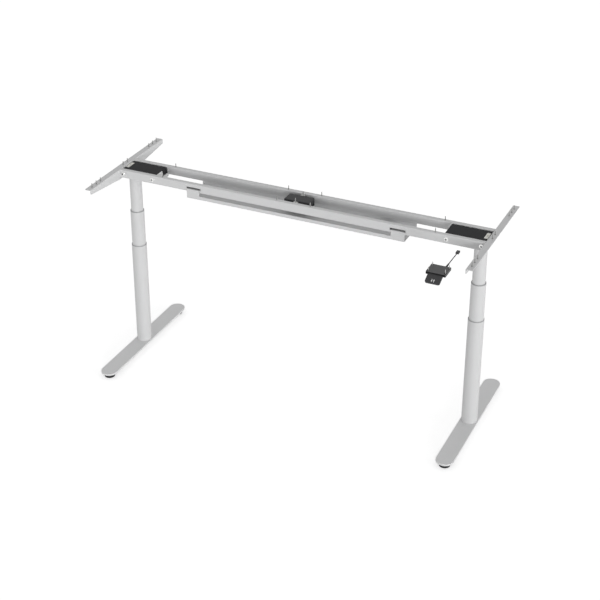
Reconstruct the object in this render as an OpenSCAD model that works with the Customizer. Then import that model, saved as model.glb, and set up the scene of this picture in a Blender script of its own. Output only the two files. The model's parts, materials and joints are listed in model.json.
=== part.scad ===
// Standing desk frame: two three-stage round columns on flat feet, two long rails between
// two side brackets, a hooked-in cable tray, a control box and a tilting handset.
// Millimetres. The origin is on the floor, midway between the columns; X runs along the
// rails, Y from front to back and Z up. The tabletop, which the frame carries, is not part of it.

/* [Columns] */
// Distance between the column axes
column_spacing = 1600; // [900:10:2000]
// How far each of the two moving stages is drawn out, as modelled
stage_out = 164; // [0:1:325]
// How far each moving stage can be drawn out
stage_travel = 325; // [200:5:330]
// Length of the lower tube
lower_tube_len = 497; // [480:1:600]
// Outer radius of the lower tube
lower_r = 34; // [33.6:0.1:40]
// Outer radius of the middle tube
middle_r = 31.2; // [30.5:0.1:31.6]
// Outer radius of the upper tube
upper_r = 27.3; // [25:0.1:28]
// Wall of every column tube
tube_wall = 1.5; // [1.2:0.1:2]
// Height of each glide ring above its tube
ring_lip_h = 4; // [2:0.5:8]

/* [Feet] */
// Length of a foot plate
foot_len = 700; // [500:10:900]
// Width of a foot plate
foot_w = 75; // [70:1:120]
// Thickness of a foot plate
foot_t = 8; // [6:0.5:12]
// Radius of a levelling pad
pad_r = 24; // [16:1:30]
// Height of a levelling pad, floor to stud
pad_h = 18; // [12:1:30]
// Gap between a levelling pad and the foot plate, screwed right in
pad_gap = 4; // [1:0.5:10]

/* [Rails] */
// Height of a rail
rail_h = 37; // [35:1:60]
// Width of a rail
rail_w = 20.5; // [18:0.5:30]
// Wall of a rail
rail_wall = 1.6; // [1.2:0.1:2.5]
// Distance over the outer faces of the two rails
rail_span = 138; // [136:1:200]
// Distance between the inner pair of tabletop screws along a rail
inner_screw_pitch = 154; // [130:2:300]
// Distance between the outer pair of tabletop screws along a rail
outer_screw_pitch = 1250; // [1140:10:1256]

/* [Side brackets] */
// Length of a side bracket, front to back
bracket_len = 616; // [500:2:900]
// Width of a side bracket's flange
bracket_flange_w = 29; // [26:1:60]
// Sheet thickness of a side bracket
bracket_t = 3; // [2:0.5:4]
// Depth of a side bracket's web at mid-length
bracket_mid_depth = 45; // [42:1:70]
// Depth of a side bracket's web at its ends
bracket_end_depth = 22; // [18:1:40]
// Distance from a side bracket's end to the middle screw of its end group
bracket_group_inset = 68; // [50:1:100]
// Distance between neighbouring screws in a side bracket's end group
bracket_group_pitch = 34; // [20:1:45]

/* [Cable tray] */
// Length of the cable tray
tray_len = 1000; // [400:10:1100]
// Drop of the tray's floor below the rails
tray_drop = 30.5; // [20:0.5:80]
// Height of the tray's lips
tray_lip_h = 16; // [8:1:25]
// Sheet thickness of the tray
tray_t = 1.5; // [1:0.1:2]
// Width of each hooked tab
tray_tab_w = 60; // [30:1:90]

/* [Control box] */
// Length of the control box, along the rails
box_len = 116; // [110:1:130]
// Width of the control box
box_w = 60; // [56:1:70]
// Height of the control box
box_h = 33; // [30:1:35]

/* [Handset] */
// Distance from the middle of the frame to the handset, along the rails
handset_x = 742; // [300:1:750]
// Distance from the middle of the frame to the handset plate's front edge
handset_y = 386; // [380:1:430]
// Width of the handset plate
handset_w = 80; // [78:1:100]
// Depth of the handset plate
handset_d = 69; // [66:1:100]
// Thickness of the handset plate
handset_t = 10; // [10:0.5:16]
// Width of the paddle
paddle_w = 60; // [50:1:62]
// Length of the paddle
paddle_len = 46; // [40:1:50]
// Slope of the paddle at rest
paddle_slope = 24; // [5:1:28]
// Diameter of the handset cable
cable_d = 4; // [3:0.5:5]

/* [Fasteners] */
// Radius of a tabletop screw's shank
screw_r = 2.2; // [1.8:0.1:2.6]
// Radius of a tabletop screw's head
screw_head_r = 4.5; // [4:0.1:5]
// Height that a tabletop screw stands above the frame
screw_out = 20; // [10:1:30]
// Radius of a rail bolt
bolt_r = 3; // [2.5:0.1:4]

/* [Hidden] */
$fn = 64;
// Overrun of every cut
over = 1;
// Clearance between pieces that move or slip past each other
gap = 0.3;
// Running clearance of a pin in its hole
pin_gap = 0.05;
// Clearance of a screw's shank in its hole
hole_gap = 0.5;
// Height of a tabletop screw's head, length of its point, and step from its thread to its
// smooth neck
screw_head_h = 3;
screw_point_h = 4;
screw_neck_step = 0.3;
// Least wall of a moulded shell
shell_t = 2.2;

// Reveal of the middle stage's ring above the lower ring, pushed right down
middle_reveal = 5.5;
// Reveal between the middle ring and the drive housing, pushed right down
upper_reveal = 8;
// Height of a drive housing's floor below the rails
housing_drop = 8;

// Levels, from the floor up
foot_bottom_z = pad_h + pad_gap;
foot_top_z = foot_bottom_z + foot_t;
lower_top_z = foot_top_z + lower_tube_len;
lower_ring_z = lower_top_z + ring_lip_h;
middle_ring_z = lower_ring_z + middle_reveal + stage_out;
middle_top_z = middle_ring_z - ring_lip_h;
housing_z = middle_ring_z + upper_reveal + stage_out;
rail_z = housing_z + housing_drop;
seat_z = rail_z + rail_h;
tray_z = rail_z - tray_drop;

// Column axes and what lines up with them
column_x = column_spacing / 2;
pad_y = foot_len / 2 - foot_w / 2;
web_x = column_x + lower_r;

// Column inside: base disc, plug, rings and screws
base_disc_t = 6;
base_screw_r = 3;
base_screw_ring_r = 18;
base_screw_len = foot_t + base_disc_t;
base_screw_head_r = 2 * base_screw_r;
base_socket_share = 0.8;
ring_sleeve_len = 60;
plug_flange_t = 6;
plug_spigot_h = 14;
plug_z = foot_top_z + base_disc_t + plug_flange_t / 2 + stage_out;
middle_bottom_z = plug_z + plug_flange_t;
lift_screw_r = 6;
screw_tube_r = 10;
screw_tube_wall = 3;
drive_tube_r = 14;
drive_tube_wall = 3.4;
nut_h = 24;
collar_t = 4;
collar_r = 13;
upper_glide_t = 6;
screw_tube_z = plug_z;
collar_z = middle_bottom_z + plug_spigot_h + gap;
upper_glide_z = collar_z + collar_t + plug_flange_t + stage_out;
upper_bottom_z = upper_glide_z + upper_glide_t;
drive_tube_z = upper_bottom_z + gap;
stage_left = stage_travel - stage_out;
lift_screw_top_z = screw_tube_z + nut_h + stage_left + plug_flange_t;
screw_tube_top_z = drive_tube_z + nut_h + stage_left + plug_flange_t;

// Levelling feet
pad_base_h = 14;
pad_hub_r = pad_r / 2;
pad_edge_r = 2;
stud_r = 4;
stud_hold = 6.6;

// Rails and their holes
rail_y = rail_span / 2 - rail_w / 2;
rail_in_y = rail_span / 2 - rail_w;
rail_corner_r = 2.5;
rail_end_t = 3;
rail_len = 2 * web_x;
inner_screw_x = inner_screw_pitch / 2;
outer_screw_x = outer_screw_pitch / 2;
access_r = screw_head_r + hole_gap;
bolt_inset = 14;
bolt_reach = 146;
housing_inset = 17;
bolt_x = [web_x - bolt_inset, web_x - bolt_inset - bolt_reach];
bolt_z = rail_z + rail_h / 2;
bolt_head_r = 5.4;
bolt_head_h = 3.3;
bolt_socket_r = 2.3;
bolt_flange_r = 9;
bolt_flange_t = 1.6;
bolt_past = 3;
rivet_nut_r = 5.5;
rivet_nut_t = 1.2;

// Side brackets
bracket_flat_half = 80;
bracket_round_r = 8;
arc_steps = 6;
bracket_mid_pitch = 36;
bracket_hole_gap = 1.6;
bracket_screw_x = web_x + bracket_flange_w / 2;
bracket_group_y = bracket_len / 2 - bracket_group_inset;

// Drive housing, gearbox and motor
housing_t = 3;
housing_in_x = bolt_x[1] - housing_inset;
housing_out_x = web_x - gap;
housing_side_h = 35;
housing_end_h = 18;
housing_ear_w = 42;
housing_ear_h = rail_h + housing_drop;
housing_floor_z = housing_z + housing_t;
head_disc_t = 4;
head_screw_r = 2.5;
head_screw_head_r = 4.2;
head_screw_head_h = 2.4;
head_screw_ring_r = 20.5;
gearbox_w = 62;
gearbox_half_len = 27;
gearbox_h = 20;
gearbox_round_r = 4;
gear_tower_len = 14;
gear_tower_w = 40;
gear_tower_h = 36;
drive_entry = 10;
motor_r = 18;
motor_len = 82;
motor_band_w = 8;
motor_band_t = 0.8;
motor_end_r = 9;
motor_end_h = 3;
motor_z = housing_floor_z + motor_r + 2 * gap;

// Motor cover and its clip
cover_t = 2;
cover_in_x = housing_in_x + housing_t + gap;
cover_end_gap = 4;
cover_out_x = web_x - cover_end_gap;
cover_half_w = 43;
cover_sink = 2.5;
cover_top_z = seat_z - cover_sink;
cover_round_r = 3;
cover_notch_w = 52;
cover_notch_d = 15;
cover_notch_h = 16;
clip_slot_r = 5;

// Cable tray. Its rear lip is a little taller than the front one
tray_proud = 4;
tray_rear_rise = 4;
tray_half_w = rail_span / 2 + tray_proud;
tray_half = tray_len / 2;
slot_h = 9.5;
slot_rise = 11.2;
slot_z = rail_z + slot_rise;
slot_outer_gap = 2;
slot_inner_gap = 6;
tongue_len = 11;

// Control box
box_z = seat_z - over - box_h;
box_base_h = 14;
box_round_r = 4;
strap_w = 18;
strap_t = 2;
strap_ear_z = seat_z - 3 * strap_t;
strap_screw_y = (box_w / 2 + rail_in_y) / 2;
box_wall = 2.2;
box_chamfer = 3;
post_r = 3;
post_inset = 9;
board_t = 1.6;
board_rise = 6;
board_gap = 2;
transformer = [34, 30, 15];
capacitor_r = 6;
capacitor_h = 16;
port_w = 11;
port_h = 7;
port_rise = 4;
port_pitch = 17;

// Handset
handset_mid_y = -handset_y + handset_d / 2;
handset_z = seat_z - handset_t;
handset_round_r = 3;
pocket_r = 4.6;
pocket_depth = 4;
pocket_floor_t = 3.5;
pocket_inset = 6.2;
pocket_x = handset_w / 2 - pocket_inset;
pocket_front = 15;
pocket_rear = 7;
handset_screw_r = 1.8;
handset_head_r = 3.6;
handset_head_h = 2.5;
cavity_w = 48;
cavity_d = 50;
cavity_shift = 3;
cavity_y = handset_mid_y + cavity_shift;
cavity_h = 8.5;
bottom_t = 1.8;
bottom_gap = 0.2;
key_w = 6;
key_h = 4;
key_pitch = 20;
hinge_r = 1.5;
hinge_setback = 4;
hinge_rise = 3;
hinge_y = -handset_y + hinge_setback;
hinge_z = handset_z + hinge_rise;
hinge_hold = 4;
hinge_len = paddle_w + 2 * hinge_hold;
recess_d = 9;
recess_roof_t = 2;
paddle_t = 6;
paddle_round_r = 8;
barrel_r = 3.2;
arrow_len = 14;
arrow_w = 6.5;
arrow_stem_w = 2.4;
arrow_head_len = 6;
arrow_t = 0.5;
arrow_pitch = 8.5;
arrow_from_hinge = 33;
relief_inset = 22.5;
relief_x = handset_x + handset_w / 2 - relief_inset;
relief_len = 36;
relief_r = 4.5;
relief_tip_r = 2.6;
relief_z = handset_z + handset_t / 2;
relief_y = handset_mid_y + handset_d / 2;
plug_w = 13;
plug_t = 8;
plug_len = 20;
// Free stretch of the handset cable, from the strain relief's tip to the plug, as
// X, Y and Z away from the relief's tip
cable_points = [[0, 0, 0], [0, 6, 0], [0, 12, 0], [0, 18, -0.1], [0, 24, -0.1], [0, 30, -0.2],
    [0, 36, -0.2], [0.1, 42, -0.3], [0.1, 48, -0.4], [0.1, 54, -0.5], [0.1, 60, -0.6],
    [0.2, 66, -0.7], [0.2, 72, -0.8], [0.2, 78, -0.9], [0.2, 85, -1], [0.2, 94, -1]];
cable_sides = 8;

// Finishes
coat = [0.8, 0.8, 0.8];
zinc = [0.86, 0.86, 0.84];
steel = [0.62, 0.63, 0.65];
black = [0.12, 0.12, 0.13];
grey = [0.55, 0.56, 0.57];
cream = [0.9, 0.88, 0.8];
white = [0.95, 0.95, 0.95];
green = [0.1, 0.4, 0.25];

SIDE_NODES = ["foot_plate", "front_leveller", "rear_leveller", "lower_tube", "foot_screws",
    "lift_screw", "lower_glide_ring", "middle_tube", "middle_glide_plug", "middle_glide_ring",
    "screw_tube", "upper_tube", "upper_glide", "drive_tube", "drive_housing", "gearbox",
    "motor", "motor_cover", "cover_clip", "side_bracket"];

// Places its children at a column: the left one as drawn, the right one turned half round
module at_column(side) {
    rotate([0, 0, side > 0 ? 180 : 0])
        translate([-column_x, 0, 0]) children();
}

// A pipe standing on z, from an outer radius and a wall
module pipe(r, wall, h) {
    difference() {
        cylinder(r = r, h = h);
        translate([0, 0, -over]) cylinder(r = r - wall, h = h + 2 * over);
    }
}

// A block with its four upright edges rounded, centred on X and Y
module round_block(x, y, h, r) {
    linear_extrude(h) round_rect(x, y, r);
}

// A rectangle with round corners, centred
module round_rect(x, y, r) {
    square([x - 2 * r, y], center = true);
    square([x, y - 2 * r], center = true);
    for (sx = [-1, 1], sy = [-1, 1])
        translate([sx * (x / 2 - r), sy * (y / 2 - r)]) circle(r);
}

// Wood screw, point up: its head lies below the sheet's lower face at z = 0, its smooth neck
// passes the sheet and its thread stands out above
module wood_screw(r, head_r, head_h, sheet_t) {
    translate([0, 0, -head_h]) cylinder(r = head_r, h = head_h);
    cylinder(r = r + screw_neck_step, h = sheet_t);
    cylinder(r = r, h = sheet_t + screw_out - screw_point_h);
    translate([0, 0, sheet_t + screw_out - screw_point_h])
        cylinder(r1 = r, r2 = r / 4, h = screw_point_h);
}

// Screw that goes up into the tabletop through a sheet
module top_screw(sheet_t) {
    wood_screw(screw_r, screw_head_r, screw_head_h, sheet_t);
}

module foot_plate() {
    color(coat) difference() {
        translate([0, 0, foot_bottom_z]) linear_extrude(foot_t) {
            square([foot_w, 2 * pad_y], center = true);
            for (s = [-1, 1]) translate([0, s * pad_y]) circle(foot_w / 2);
        }
        for (s = [-1, 1]) translate([0, s * pad_y, foot_bottom_z - over])
            cylinder(r = stud_r + pin_gap, h = over + stud_hold + gap);
        for (a = [45:90:315]) rotate([0, 0, a]) translate([base_screw_ring_r, 0, foot_bottom_z]) {
            translate([0, 0, -over]) cylinder(r = base_screw_r + hole_gap, h = foot_t + 2 * over);
            translate([0, 0, -over]) cylinder(r = base_screw_head_r + gap, h = over + base_screw_r);
        }
    }
}

// Levelling foot: pad, hub and threaded stud
module leveller(s) {
    translate([0, s * pad_y, 0]) color(black) {
        rotate_extrude() polygon([[0, 0], [pad_r - pad_edge_r, 0], [pad_r, pad_edge_r],
            [pad_r, pad_base_h], [pad_hub_r, pad_h - pad_edge_r], [pad_hub_r, pad_h], [0, pad_h]]);
        translate([0, 0, pad_h - over])
            cylinder(r = stud_r, h = over + pad_gap + stud_hold);
    }
}

module lower_tube() {
    color(coat) translate([0, 0, foot_top_z]) {
        pipe(lower_r, tube_wall, lower_tube_len);
        difference() {
            cylinder(r = lower_r - tube_wall / 2, h = base_disc_t);
            for (a = [45:90:315]) rotate([0, 0, a]) translate([base_screw_ring_r, 0, -over])
                cylinder(r = base_screw_r + pin_gap, h = base_disc_t + 2 * over);
            translate([0, 0, -over]) cylinder(r = lift_screw_r + pin_gap, h = base_disc_t + 2 * over);
        }
    }
}

module foot_screws() {
    color(steel) for (a = [45:90:315]) rotate([0, 0, a]) translate([base_screw_ring_r, 0, foot_bottom_z]) {
        difference() {
            cylinder(r = base_screw_head_r, h = base_screw_r - pin_gap);
            translate([0, 0, -over]) cylinder(r = base_screw_r * base_socket_share, h = over + base_screw_r / 2, $fn = 6);
        }
        cylinder(r = base_screw_r, h = base_screw_len);
    }
}

// Fixed lift screw, standing in the base disc
module lift_screw() {
    color(steel) translate([0, 0, foot_top_z])
        cylinder(r = lift_screw_r, h = lift_screw_top_z - foot_top_z);
}

// Ring in the mouth of a tube: lip on the tube's end, sleeve inside it
module glide_ring(tube_r, slider_r, top_z) {
    sleeve_r = tube_r - tube_wall - pin_gap;
    color(grey) translate([0, 0, top_z]) {
        pipe(tube_r, tube_r - slider_r - gap, ring_lip_h);
        translate([0, 0, -ring_sleeve_len])
            pipe(sleeve_r, sleeve_r - slider_r - gap, ring_sleeve_len + over);
    }
}

module middle_tube() {
    color(coat) translate([0, 0, middle_bottom_z])
        pipe(middle_r, tube_wall, middle_top_z - middle_bottom_z);
}

// Plug in the middle tube's lower end: glides in the lower tube and carries the screw tube
module middle_glide_plug() {
    color(grey) difference() {
        union() {
            translate([0, 0, plug_z]) cylinder(r = lower_r - tube_wall - gap, h = plug_flange_t);
            translate([0, 0, middle_bottom_z])
                cylinder(r = middle_r - tube_wall - pin_gap, h = plug_spigot_h);
        }
        translate([0, 0, plug_z - over])
            cylinder(r = screw_tube_r + pin_gap, h = plug_flange_t + plug_spigot_h + 2 * over);
    }
}

// Turning screw tube: nut at its lower end for the lift screw, collar on the plug
module screw_tube() {
    len = screw_tube_top_z - screw_tube_z;
    color(steel) difference() {
        union() {
            translate([0, 0, screw_tube_z]) cylinder(r = screw_tube_r, h = len);
            translate([0, 0, collar_z]) cylinder(r = collar_r, h = collar_t);
        }
        translate([0, 0, screw_tube_z - over]) cylinder(r = lift_screw_r + pin_gap, h = len + 2 * over);
        translate([0, 0, screw_tube_z + nut_h]) cylinder(r = screw_tube_r - screw_tube_wall, h = len);
    }
}

// Upper tube, with a screwed disc in its head
module upper_tube() {
    disc_r = upper_r - tube_wall / 2;
    color(coat) {
        translate([0, 0, upper_bottom_z]) pipe(upper_r, tube_wall, housing_z - upper_bottom_z);
        translate([0, 0, housing_z - head_disc_t]) difference() {
            pipe(disc_r, disc_r - drive_tube_r - gap, head_disc_t);
            head_screw_places() translate([0, 0, -over])
                cylinder(r = head_screw_r + pin_gap, h = head_disc_t + 2 * over);
        }
    }
}

// The four places of the screws that close a column's head
module head_screw_places() {
    for (a = [45:90:315]) rotate([0, 0, a]) translate([head_screw_ring_r, 0, 0]) children();
}

// Glide on the upper tube's lower end
module upper_glide() {
    skirt_r = middle_r - tube_wall - gap;
    color(grey) {
        translate([0, 0, upper_glide_z]) pipe(skirt_r, skirt_r - drive_tube_r - gap, upper_glide_t);
        translate([0, 0, upper_bottom_z - over])
            pipe(upper_r - tube_wall - pin_gap, 2 * tube_wall, plug_spigot_h + over);
    }
}

// Turning drive tube: hangs from the gearbox, nut at its lower end for the screw tube
module drive_tube() {
    len = housing_floor_z + drive_entry - drive_tube_z;
    color(steel) translate([0, 0, drive_tube_z]) difference() {
        cylinder(r = drive_tube_r, h = len);
        translate([0, 0, -over]) cylinder(r = screw_tube_r + pin_gap, h = len - drive_entry);
        translate([0, 0, nut_h]) cylinder(r = drive_tube_r - drive_tube_wall, h = len - nut_h - drive_entry);
    }
}

// Steel channel between the rails. Its inner end is low, with a taller ear on one side
module drive_housing() {
    len = housing_out_x - housing_in_x;
    color(coat) difference() {
        translate([column_x - housing_out_x, -rail_in_y, housing_z]) {
            cube([len, 2 * rail_in_y, housing_t]);
            for (y = [0, 2 * rail_in_y - housing_t]) translate([0, y, 0])
                cube([len, housing_t, housing_side_h]);
            translate([len - housing_t, 0, 0]) cube([housing_t, 2 * rail_in_y, housing_end_h]);
            translate([len - housing_t, 0, 0]) cube([housing_t, housing_ear_w, housing_ear_h]);
        }
        translate([0, 0, housing_z - over]) cylinder(r = drive_tube_r + gap, h = housing_t + 2 * over);
        translate([0, 0, housing_z]) head_screw_places() {
            translate([0, 0, -over]) cylinder(r = head_screw_r + hole_gap, h = housing_t + 2 * over);
            translate([0, 0, housing_t - head_screw_head_h])
                cylinder(r = head_screw_head_r + gap, h = head_screw_head_h + over);
        }
        for (x = bolt_x) translate([column_x - x, 0, bolt_z]) rotate([90, 0, 0])
            cylinder(r = bolt_r + pin_gap, h = 3 * rail_in_y, center = true);
    }
}

// Screws that hold the drive housings on the heads of both columns
module head_screws() {
    color(steel) for (side = [-1, 1]) at_column(side) head_screw_places()
        translate([0, 0, housing_floor_z - head_screw_head_h]) {
            cylinder(r = head_screw_head_r, h = head_screw_head_h);
            translate([0, 0, head_screw_head_h - housing_t - head_disc_t])
                cylinder(r = head_screw_r, h = housing_t + head_disc_t - head_screw_head_h + pin_gap);
        }
}

module gearbox() {
    color(grey) translate([0, 0, housing_floor_z]) difference() {
        union() {
            round_block(2 * gearbox_half_len, gearbox_w, gearbox_h, gearbox_round_r);
            translate([gearbox_half_len - gear_tower_len, -gear_tower_w / 2, 0])
                cube([gear_tower_len, gear_tower_w, gear_tower_h]);
        }
        translate([0, 0, -over]) cylinder(r = drive_tube_r + pin_gap, h = drive_entry + gap + over);
    }
}

// Round gear motor, lying along the rails
module motor() {
    color(black) translate([gearbox_half_len, 0, motor_z]) rotate([0, 90, 0]) {
        cylinder(r = motor_r - motor_band_t, h = motor_len);
        for (x = [0, motor_len - motor_band_w]) translate([0, 0, x]) cylinder(r = motor_r, h = motor_band_w);
        cylinder(r = motor_end_r, h = motor_len + motor_end_h);
    }
}

// Outline of a motor cover, shrunk by the wall for its inside
module cover_outline(inset) {
    len = cover_out_x - cover_in_x;
    notch_w = cover_notch_w + 2 * inset;
    difference() {
        translate([column_x - cover_out_x + len / 2, 0])
            round_rect(len - 2 * inset, 2 * (cover_half_w - inset), cover_round_r - inset);
        translate([column_x - cover_out_x - over, -notch_w / 2])
            square([cover_notch_d + inset + over, notch_w]);
    }
}

// Black cover over the motor and gearbox, notched at its outer end for the clip
module motor_cover() {
    notch_z = cover_top_z - cover_notch_h;
    low_h = notch_z - housing_floor_z;
    len = cover_out_x - cover_in_x;
    mid_x = column_x - cover_out_x + len / 2;
    color(black) {
        translate([0, 0, housing_floor_z]) linear_extrude(low_h) difference() {
            translate([mid_x, 0]) round_rect(len, 2 * cover_half_w, cover_round_r);
            translate([mid_x, 0]) round_rect(len - 2 * cover_t, 2 * (cover_half_w - cover_t),
                cover_round_r - cover_t);
        }
        translate([0, 0, notch_z - cover_t]) linear_extrude(cover_t) intersection() {
            translate([mid_x, 0]) round_rect(len, 2 * cover_half_w, cover_round_r);
            translate([column_x - cover_out_x, -cover_notch_w / 2 - cover_t])
                square([cover_notch_d + cover_t, cover_notch_w + 2 * cover_t]);
        }
        translate([0, 0, notch_z]) linear_extrude(cover_notch_h) difference() {
            cover_outline(0);
            cover_outline(cover_t);
        }
        translate([0, 0, cover_top_z - cover_t]) linear_extrude(cover_t) cover_outline(0);
    }
}

// Cream nylon clip in the notch of a motor cover
module cover_clip() {
    color(cream) translate([column_x - cover_out_x, 0, cover_top_z - cover_notch_h]) difference() {
        translate([0, -cover_notch_w / 2 + gap, 0])
            cube([cover_notch_d - gap, cover_notch_w - 2 * gap, cover_notch_h]);
        translate([cover_notch_d / 2, 0, cover_notch_h / 2]) cylinder(r = clip_slot_r, h = cover_notch_h);
    }
}

// Points of an arc, from one angle to another
function arc(x, y, r, from, to) = [for (i = [0:arc_steps]) let (a = from + (to - from) * i / arc_steps)
    [x + r * cos(a), y + r * sin(a)]];

// Angle-section side bracket: flange outwards, web tapering to both ends
module side_bracket() {
    half = bracket_len / 2;
    rr = bracket_round_r;
    web_low = -bracket_end_depth + rr;
    outline = concat([[-half, 0], [-half, web_low]], arc(-half + rr, web_low, rr, 180, 270),
        [[-bracket_flat_half, -bracket_mid_depth], [bracket_flat_half, -bracket_mid_depth]],
        arc(half - rr, web_low, rr, 270, 360), [[half, 0]]);
    color(coat) translate([column_x - web_x, 0, seat_z]) difference() {
        union() {
            rotate([90, 0, -90]) linear_extrude(bracket_t) polygon([for (p = outline) [-p[0], p[1]]]);
            translate([-bracket_flange_w, -half, -bracket_t])
                cube([bracket_flange_w, bracket_len, bracket_t]);
        }
        for (s = [-1, 1]) translate([over, s * rail_y, bolt_z - seat_z]) rotate([0, -90, 0])
            cylinder(r = bolt_r + hole_gap, h = bracket_t + 2 * over);
        for (y = bracket_screw_ys()) translate([web_x - bracket_screw_x, y, -bracket_t - over])
            cylinder(r = screw_r + bracket_hole_gap, h = bracket_t + 2 * over);
    }
}

// Places of the tabletop screws along a side bracket
function bracket_screw_ys() = concat([-bracket_mid_pitch / 2, bracket_mid_pitch / 2],
    [for (s = [-1, 1], i = [-1:1]) s * bracket_group_y + i * bracket_group_pitch]);

// Places of the tabletop screws along a rail
function rail_screw_xs() = [-outer_screw_x, -inner_screw_x, inner_screw_x, outer_screw_x];

// Box-section rail with an end plate welded in at both ends, for the side brackets' bolts.
// side is -1 for the front rail and 1 for the rear one
module rail(side) {
    color(coat) difference() {
        translate([0, side * rail_y, bolt_z]) rotate([90, 0, 90]) {
            linear_extrude(rail_len, center = true) difference() {
                round_rect(rail_w, rail_h, rail_corner_r);
                round_rect(rail_w - 2 * rail_wall, rail_h - 2 * rail_wall, rail_corner_r - rail_wall);
            }
            for (s = [-1, 1]) translate([0, 0, s * (rail_len - rail_end_t) / 2])
                linear_extrude(rail_end_t, center = true)
                    round_rect(rail_w - rail_wall, rail_h - rail_wall, rail_corner_r - rail_wall / 2);
        }
        translate([0, side * rail_y, bolt_z]) rotate([0, 90, 0])
            cylinder(r = bolt_r + pin_gap, h = rail_len + 2 * over, center = true);
        for (x = rail_screw_xs()) translate([x, side * rail_y, rail_z]) {
            translate([0, 0, -over]) cylinder(r = access_r, h = rail_wall + 2 * over);
            translate([0, 0, rail_h / 2]) cylinder(r = screw_r + hole_gap, h = rail_h / 2 + over);
        }
        for (x = bolt_x, s = [-1, 1]) translate([s * x, side * rail_y, bolt_z]) rotate([90, 0, 0])
            cylinder(r = bolt_r + hole_gap, h = rail_w + 2 * over, center = true);
        for (s = [-1, 1]) mirror([s > 0 ? 0 : 1, 0, 0])
            translate([tray_half - tray_tab_w - slot_inner_gap, side > 0 ? rail_span / 2 - 2 * rail_wall
                : -rail_span / 2 - over, slot_z])
                cube([tray_tab_w + slot_inner_gap + slot_outer_gap, 2 * rail_wall + over, slot_h]);
    }
}

module front_rail() { rail(-1); }

module rear_rail() { rail(1); }

// Flange-head bolt with its head on z = 0 and its shank below
module flange_bolt(shank) {
    translate([0, 0, -shank]) cylinder(r = bolt_r, h = shank + bolt_flange_t);
    cylinder(r = bolt_flange_r, h = bolt_flange_t);
    translate([0, 0, bolt_flange_t]) difference() {
        cylinder(r = bolt_head_r, h = bolt_head_h - bolt_flange_t);
        cylinder(r = bolt_socket_r, h = bolt_head_h, $fn = 6);
    }
}

// Bolts through the rails, each in a rivet nut in the drive housing's side, and bolts
// through the side brackets into the rails' end plates
module frame_bolts() {
    rail_shank = rail_w + housing_t + rivet_nut_t;
    color(zinc) for (sx = [-1, 1], sy = [-1, 1]) {
        for (x = bolt_x) translate([sx * x, sy * rail_span / 2, bolt_z]) rotate([-sy * 90, 0, 0]) {
            flange_bolt(rail_shank);
            translate([0, 0, -rail_shank]) cylinder(r = rivet_nut_r, h = rivet_nut_t);
        }
        translate([sx * (web_x + bracket_t), sy * rail_y, bolt_z]) rotate([0, sx * 90, 0])
            flange_bolt(bracket_t + rail_end_t + bolt_past);
    }
}

// Every screw that goes up into the tabletop: rails, side brackets and box strap
module tabletop_screws() {
    color(zinc) {
        for (x = rail_screw_xs(), s = [-1, 1]) translate([x, s * rail_y, seat_z - rail_wall])
            top_screw(rail_wall);
        for (y = bracket_screw_ys(), s = [-1, 1]) translate([s * bracket_screw_x, s * y, seat_z - bracket_t])
            top_screw(bracket_t);
        for (s = [-1, 1]) translate([0, s * strap_screw_y, strap_ear_z]) top_screw(strap_t);
    }
}

// Bent sheet under the rails: floor, two lips, four tabs with tongues through the rail slots
module cable_tray() {
    tab_h = slot_z + tray_t - tray_z;
    color(coat) translate([0, 0, tray_z]) {
        translate([-tray_half, -tray_half_w, 0]) cube([tray_len, 2 * tray_half_w, tray_t]);
        translate([-tray_half, -tray_half_w, 0]) cube([tray_len, tray_t, tray_lip_h]);
        translate([-tray_half, tray_half_w - tray_t, 0])
            cube([tray_len, tray_t, tray_lip_h + tray_rear_rise]);
        for (sx = [-1, 1], sy = [-1, 1])
            mirror([sx > 0 ? 0 : 1, 0, 0]) mirror([0, sy > 0 ? 0 : 1, 0])
                translate([tray_half - tray_tab_w, tray_half_w, 0]) {
                    translate([0, -tray_t, 0]) cube([tray_tab_w, tray_t, tab_h]);
                    translate([0, -tongue_len, tab_h - tray_t]) cube([tray_tab_w, tongue_len, tray_t]);
                }
    }
}

// A box with its upper edges chamfered, standing on z = 0
module chamfer_box(x, y, h, c) {
    intersection() {
        translate([0, y / 2, 0]) rotate([90, 0, 0]) linear_extrude(y) chamfer_side(x, h, c);
        translate([-x / 2, 0, 0]) rotate([90, 0, 90]) linear_extrude(x) chamfer_side(y, h, c);
    }
}

module chamfer_side(w, h, c) {
    polygon([[-w / 2, 0], [w / 2, 0], [w / 2, h - c], [w / 2 - c, h], [c - w / 2, h], [-w / 2, h - c]]);
}

// Ports of the control box: the mains inlet in its left end, and in its right end those of
// the two motors and the handset
function port_ys(s) = s < 0 ? [0] : [-port_pitch, 0, port_pitch];

module control_box_base() {
    color(black) translate([0, 0, box_z]) {
        difference() {
            round_block(box_len, box_w, box_base_h, box_round_r);
            translate([0, 0, box_wall]) round_block(box_len - 2 * box_wall, box_w - 2 * box_wall,
                box_base_h, box_round_r - box_wall);
            for (s = [-1, 1], y = port_ys(s)) translate([s * box_len / 2 - box_wall - over,
                y - port_w / 2, port_rise]) cube([2 * (box_wall + over), port_w, port_h]);
        }
        for (sx = [-1, 1], sy = [-1, 1])
            translate([sx * (box_len / 2 - post_inset), sy * (box_w / 2 - post_inset), box_wall / 2])
                cylinder(r = post_r, h = board_rise + box_wall / 2);
    }
}

module control_box_lid() {
    lid_h = box_h - box_base_h;
    color(black) translate([0, 0, box_z + box_base_h]) difference() {
        intersection() {
            chamfer_box(box_len, box_w, lid_h, box_chamfer);
            round_block(box_len, box_w, lid_h, box_round_r);
        }
        translate([0, 0, -over]) round_block(box_len - 2 * box_wall, box_w - 2 * box_wall,
            lid_h - box_chamfer + over, box_round_r - box_wall);
    }
}

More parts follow.
